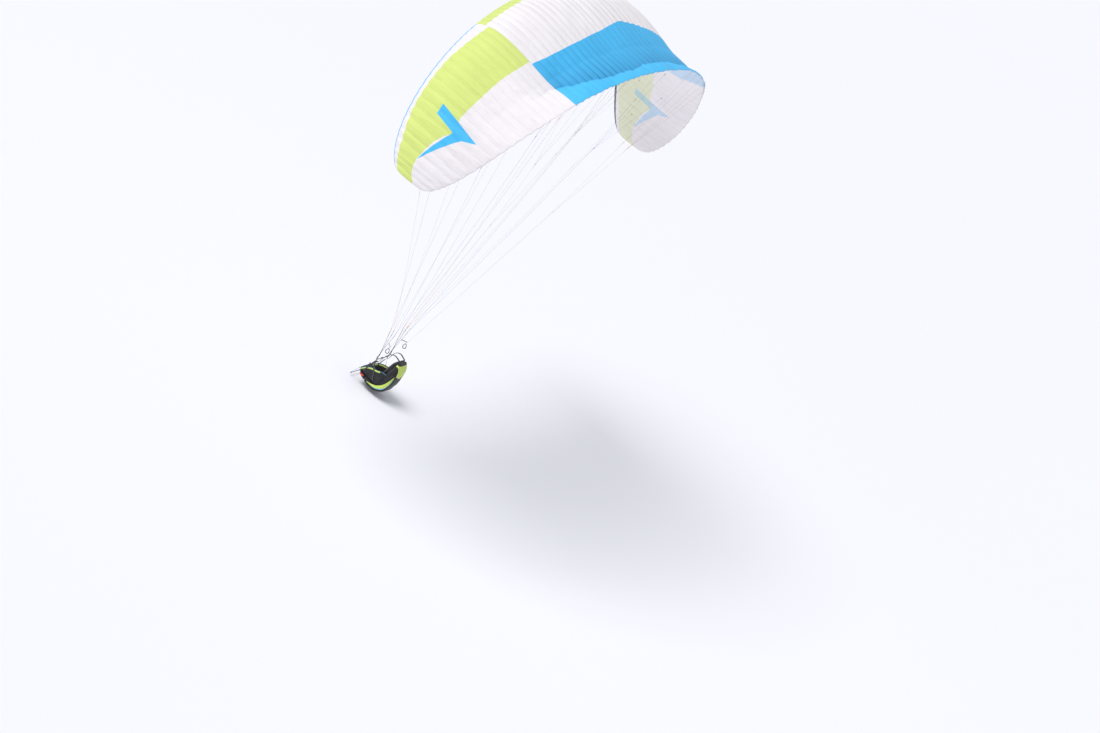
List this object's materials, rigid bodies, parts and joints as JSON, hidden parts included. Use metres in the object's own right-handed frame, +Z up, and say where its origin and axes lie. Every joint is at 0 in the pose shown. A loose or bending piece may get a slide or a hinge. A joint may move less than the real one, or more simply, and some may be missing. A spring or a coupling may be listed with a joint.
{
  "type": "paraglider",
  "caption": "Ram-air paraglider canopy in white, lime and blue with lines, risers, brake controls and a seated harness.",
  "frame": {"origin": "middle of the canopy, 30% of the chord behind its leading edge", "axes": "+X is the flight direction, +Y is left, +Z is up, in level flight"},
  "size_m": [2.65, 9.0266, 9.0057],
  "materials": {
    "canopy_white": "coated ripstop nylon, white",
    "canopy_lime": "coated ripstop nylon, lime",
    "canopy_blue": "coated ripstop nylon, blue",
    "line_red": "braided sheathed line, red",
    "line_yellow": "braided sheathed line, yellow",
    "line_blue": "braided sheathed line, blue",
    "brake_cord": "braided sheathed line, orange",
    "webbing": "woven polyester webbing",
    "harness_fabric": "coated woven nylon, black",
    "harness_foam": "padded mesh fabric, black",
    "reserve_orange": "webbing handle, orange red",
    "alloy": "polished forged alloy",
    "stainless": "stainless steel",
    "buckle_plastic": "moulded plastic, black",
    "plywood": "varnished plywood",
    "speed_cord": "braided cord, blue"
  },
  "bodies": {
    "wing": {"canopy_centre": "canopy_white", "canopy_left_inner": "canopy_white", "canopy_left_mid": "canopy_white", "canopy_left_outer": "canopy_lime", "canopy_left_tip": "canopy_lime", "canopy_right_inner": "canopy_white", "canopy_right_mid": "canopy_white", "canopy_right_outer": "canopy_lime", "canopy_right_tip": "canopy_lime", "lines_left_a": "line_red", "lines_left_b": "line_yellow", "lines_left_c": "line_blue", "lines_right_a": "line_red", "lines_right_b": "line_yellow", "lines_right_c": "line_blue", "riser_left": "webbing", "riser_right": "webbing", "link_left_a": "stainless", "link_left_b": "stainless", "link_left_c": "stainless", "link_right_a": "stainless", "link_right_b": "stainless", "link_right_c": "stainless", "carabiner_left": "alloy", "carabiner_right": "alloy", "brake_left_pulley": "stainless", "brake_right_pulley": "stainless"},
    "harness": {"seat_board": "plywood", "seat_cushion": "harness_foam", "back_pad": "harness_foam", "back_shell": "harness_fabric", "reserve_pocket": "harness_fabric", "chest_strap": "webbing", "chest_buckle": "buckle_plastic", "speed_bar": "alloy", "side_left_panel": "harness_fabric", "side_right_panel": "harness_fabric", "hang_left_strap": "webbing", "hang_right_strap": "webbing", "shoulder_left_strap": "harness_foam", "shoulder_right_strap": "harness_foam", "leg_left_strap": "webbing", "leg_right_strap": "webbing", "leg_left_buckle": "buckle_plastic", "leg_right_buckle": "buckle_plastic", "reserve_left_handle": "reserve_orange", "reserve_right_handle": "reserve_orange", "speed_left_cord": "speed_cord", "speed_right_cord": "speed_cord"},
    "left_flap": {"flap_left": "canopy_blue"},
    "left_brake_line": {"brake_left_line": "brake_cord"},
    "left_brake_handle": {"brake_left_handle": "buckle_plastic"},
    "right_flap": {"flap_right": "canopy_blue"},
    "right_brake_line": {"brake_right_line": "brake_cord"},
    "right_brake_handle": {"brake_right_handle": "buckle_plastic"}
  },
  "joints": [
    {"name": "left_brake_handle_slide", "type": "slide", "parent": "wing", "child": "left_brake_handle", "axis": [-0.1473, 0.1178, -0.982], "range_m": [0, 0.33]},
    {"name": "left_brake_line_slide", "type": "slide", "parent": "wing", "child": "left_brake_line", "axis": [0.1839, -0.241, -0.9529], "range_m": [0, 0.33]},
    {"name": "left_flap_hinge", "type": "hinge", "parent": "wing", "child": "left_flap", "pos_m": [-1.07835, 2.04325, -0.64775], "axis": [-0.0346, -0.9256, 0.377], "range_deg": [0, 28]},
    {"name": "right_brake_handle_slide", "type": "slide", "parent": "wing", "child": "right_brake_handle", "axis": [-0.1473, -0.1178, -0.982], "range_m": [0, 0.33]},
    {"name": "right_brake_line_slide", "type": "slide", "parent": "wing", "child": "right_brake_line", "axis": [0.1839, 0.241, -0.9529], "range_m": [0, 0.33]},
    {"name": "right_flap_hinge", "type": "hinge", "parent": "wing", "child": "right_flap", "pos_m": [-1.07835, -2.04325, -0.64775], "axis": [0.0346, -0.9256, -0.377], "range_deg": [0, 28]},
    {"name": "harness_swing", "type": "hinge", "parent": "wing", "child": "harness", "pos_m": [-0.2, 0, -8.045], "axis": [0, 1, 0], "range_deg": [-40, 40]}
  ],
  "couplings": [
    {"joint": "left_brake_line_slide", "follows": "left_brake_handle_slide", "ratio": 1},
    {"joint": "left_flap_hinge", "follows": "left_brake_handle_slide", "rad_per_m": 1.4809},
    {"joint": "right_brake_line_slide", "follows": "right_brake_handle_slide", "ratio": 1},
    {"joint": "right_flap_hinge", "follows": "right_brake_handle_slide", "rad_per_m": 1.4809}
  ]
}
